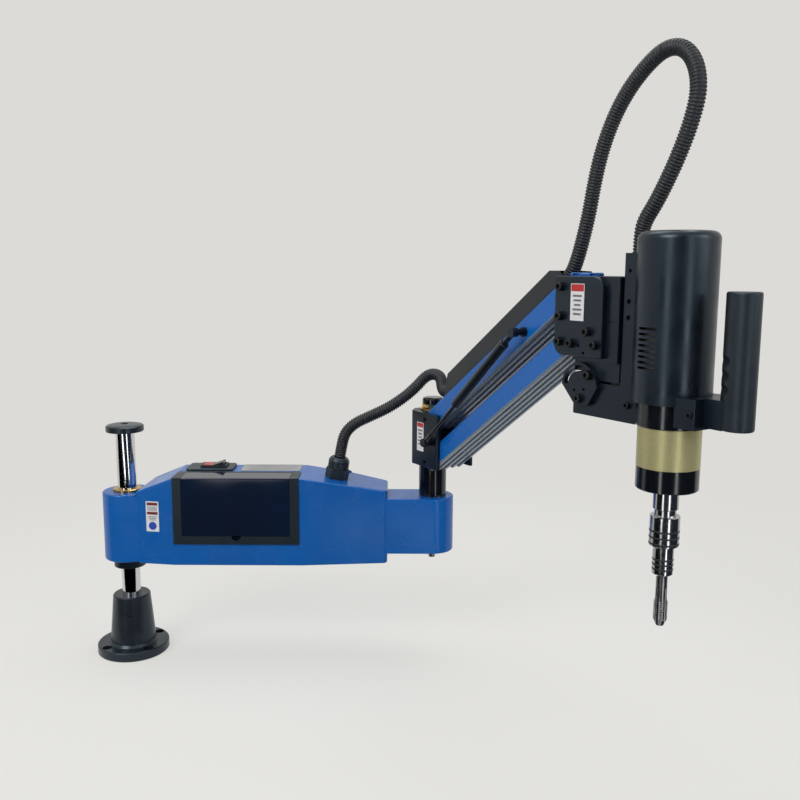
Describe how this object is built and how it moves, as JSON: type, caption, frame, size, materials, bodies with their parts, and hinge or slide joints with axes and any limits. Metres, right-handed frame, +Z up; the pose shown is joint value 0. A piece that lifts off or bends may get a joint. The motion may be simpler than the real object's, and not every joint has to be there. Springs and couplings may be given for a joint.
{
  "type": "arm tapping machine",
  "caption": "Electric tapping machine on a swing arm: chromed post, blue housing arm with flip-cover screen, parallelogram arm with gas spring, and servo tapping head with handle.",
  "frame": {"origin": "centre of the base flange's underside, on the post axis", "axes": "+Z up the post, +X from the post towards the elbow axis along the housing arm, -Y the side of the screen"},
  "size_m": [1.0351, 0.6424, 1.0419],
  "materials": {
    "blue_paint": "satin",
    "black_paint": "satin",
    "black_plastic": "matte",
    "gloss_black": "gloss",
    "smoked": "gloss",
    "screen_glass": "gloss",
    "chrome": "polished",
    "steel": "brushed",
    "dark_steel": "satin",
    "brass": "satin",
    "red_plastic": "gloss",
    "hose_black": "matte",
    "green_plastic": "gloss",
    "grey_electronics": "satin"
  },
  "bodies": {
    "base": {"base_flange": "black_paint", "post": "chrome", "post_cap": "black_plastic"},
    "lock_ring": {"stop_ring": "black_paint", "stop_ring_screw": "dark_steel"},
    "swing_arm": {"arm_shell": "blue_paint", "post_bushes": "brass", "rear_cover": "blue_paint", "display_frame": "black_plastic", "display_screen": "screen_glass", "switch_base": "black_plastic", "power_supply": "grey_electronics", "servo_driver": "grey_electronics", "power_inlet": "black_plastic", "gland_body": "black_plastic", "gland_nut": "black_plastic", "elbow_bushes": "brass", "elbow_hose": "hose_black"},
    "flip_cover": {"display_cover": "smoked"},
    "power_switch": {"power_rocker": "red_plastic"},
    "elbow": {"elbow_column": "black_paint", "elbow_retainer": "steel", "elbow_head": "black_paint", "elbow_nut": "brass", "elbow_cap": "gloss_black", "elbow_pins": "dark_steel", "spring_stud_lower": "steel"},
    "upper_arm": {"upper_bar": "blue_paint", "cable_cover": "black_paint", "spring_stud_upper": "steel", "cover_hose": "hose_black"},
    "lower_arm": {"lower_bar": "blue_paint"},
    "spring_tube": {"spring_cylinder": "black_paint"},
    "spring_slider": {"spring_rod": "chrome"},
    "link": {"link_plate_front": "black_paint", "link_plate_rear": "black_paint", "link_block": "black_paint", "link_screws": "dark_steel", "link_pins": "dark_steel", "link_cap": "blue_paint", "tilt_pin": "steel", "tilt_lock_bolt": "dark_steel", "head_hose": "hose_black"},
    "head": {"head_carriage": "black_paint", "quadrant_plate": "black_paint", "head_spine": "black_paint", "motor_cover": "black_paint", "servo_motor": "grey_electronics", "gearbox_ring": "gloss_black", "gear_housing": "brass", "nose_ring": "gloss_black", "head_screws": "dark_steel", "handle_bracket": "black_paint", "handle_grip": "black_plastic"},
    "start_push": {"start_button": "green_plastic"},
    "reverse_push": {"reverse_button": "red_plastic"},
    "tool_spindle": {"spindle": "steel", "tap_collet": "steel", "tap": "steel"},
    "chuck": {"chuck_sleeve": "steel"}
  },
  "joints": [
    {"name": "height_slide", "type": "slide", "parent": "base", "child": "lock_ring", "axis": [0, 0, 1], "range_m": [-0.05, 0.1]},
    {"name": "column_swing", "type": "hinge", "parent": "lock_ring", "child": "swing_arm", "pos_m": [0, 0, 0.25], "axis": [0, 0, 1], "continuous": true},
    {"name": "display_flip", "type": "hinge", "parent": "swing_arm", "child": "flip_cover", "pos_m": [0.218, -0.017, 0.3535], "axis": [-1, 0, 0], "range_deg": [0, 85]},
    {"name": "power_rock", "type": "hinge", "parent": "swing_arm", "child": "power_switch", "pos_m": [0.163, 0.03, 0.361], "axis": [0, 1, 0], "range_deg": [0, 16]},
    {"name": "elbow_swing", "type": "hinge", "parent": "swing_arm", "child": "elbow", "pos_m": [0.586, 0, 0.26], "axis": [0, 0, 1], "range_deg": [-53, 167], "deforming": ["elbow_hose"]},
    {"name": "arm_lift", "type": "hinge", "parent": "elbow", "child": "upper_arm", "pos_m": [0.60397, -0.02768, 0.469], "axis": [-0.8387, -0.5446, 0], "range_deg": [-46, 8], "deforming": ["elbow_hose"]},
    {"name": "lower_bar_hinge", "type": "hinge", "parent": "elbow", "child": "lower_arm", "pos_m": [0.60397, -0.02768, 0.389], "axis": [-0.8387, -0.5446, 0], "range_deg": [-46, 8]},
    {"name": "link_level", "type": "hinge", "parent": "upper_arm", "child": "link", "pos_m": [0.79463, -0.32127, 0.7187], "axis": [-0.8387, -0.5446, 0], "range_deg": [-8, 46], "deforming": ["head_hose"]},
    {"name": "spring_swivel", "type": "hinge", "parent": "upper_arm", "child": "spring_tube", "pos_m": [0.69807, -0.27722, 0.64636], "axis": [-0.8387, -0.5446, 0], "range_deg": [-4, 4]},
    {"name": "spring_stroke", "type": "slide", "parent": "spring_tube", "child": "spring_slider", "axis": [-0.4041, 0.6222, -0.6705], "range_m": [-0.036, 0.008]},
    {"name": "head_tilt", "type": "hinge", "parent": "link", "child": "head", "pos_m": [0.81473, -0.35222, 0.575], "axis": [0.8387, 0.5446, 0], "range_deg": [0, 45], "deforming": ["head_hose"]},
    {"name": "start_press", "type": "slide", "parent": "head", "child": "start_push", "axis": [-0.8387, -0.5446, 0], "range_m": [0, 0.0025], "stiffness_N_per_m": 900, "springref_m": -0.001},
    {"name": "reverse_press", "type": "slide", "parent": "head", "child": "reverse_push", "axis": [-0.8387, -0.5446, 0], "range_m": [0, 0.0025], "stiffness_N_per_m": 900, "springref_m": -0.001},
    {"name": "spindle_spin", "type": "hinge", "parent": "head", "child": "tool_spindle", "pos_m": [0.8888, -0.46628, 0.45], "axis": [0, 0, 1], "continuous": true},
    {"name": "chuck_release", "type": "slide", "parent": "tool_spindle", "child": "chuck", "axis": [0, 0, 1], "range_m": [0, 0.005], "stiffness_N_per_m": 1500, "springref_m": -0.004}
  ],
  "couplings": [
    {"joint": "lower_bar_hinge", "follows": "arm_lift", "ratio": 1},
    {"joint": "link_level", "follows": "arm_lift", "ratio": -1},
    {"joint": "spring_swivel", "follows": "arm_lift", "ratio": 0.02},
    {"joint": "spring_stroke", "follows": "arm_lift", "m_per_rad": 0.0415}
  ]
}
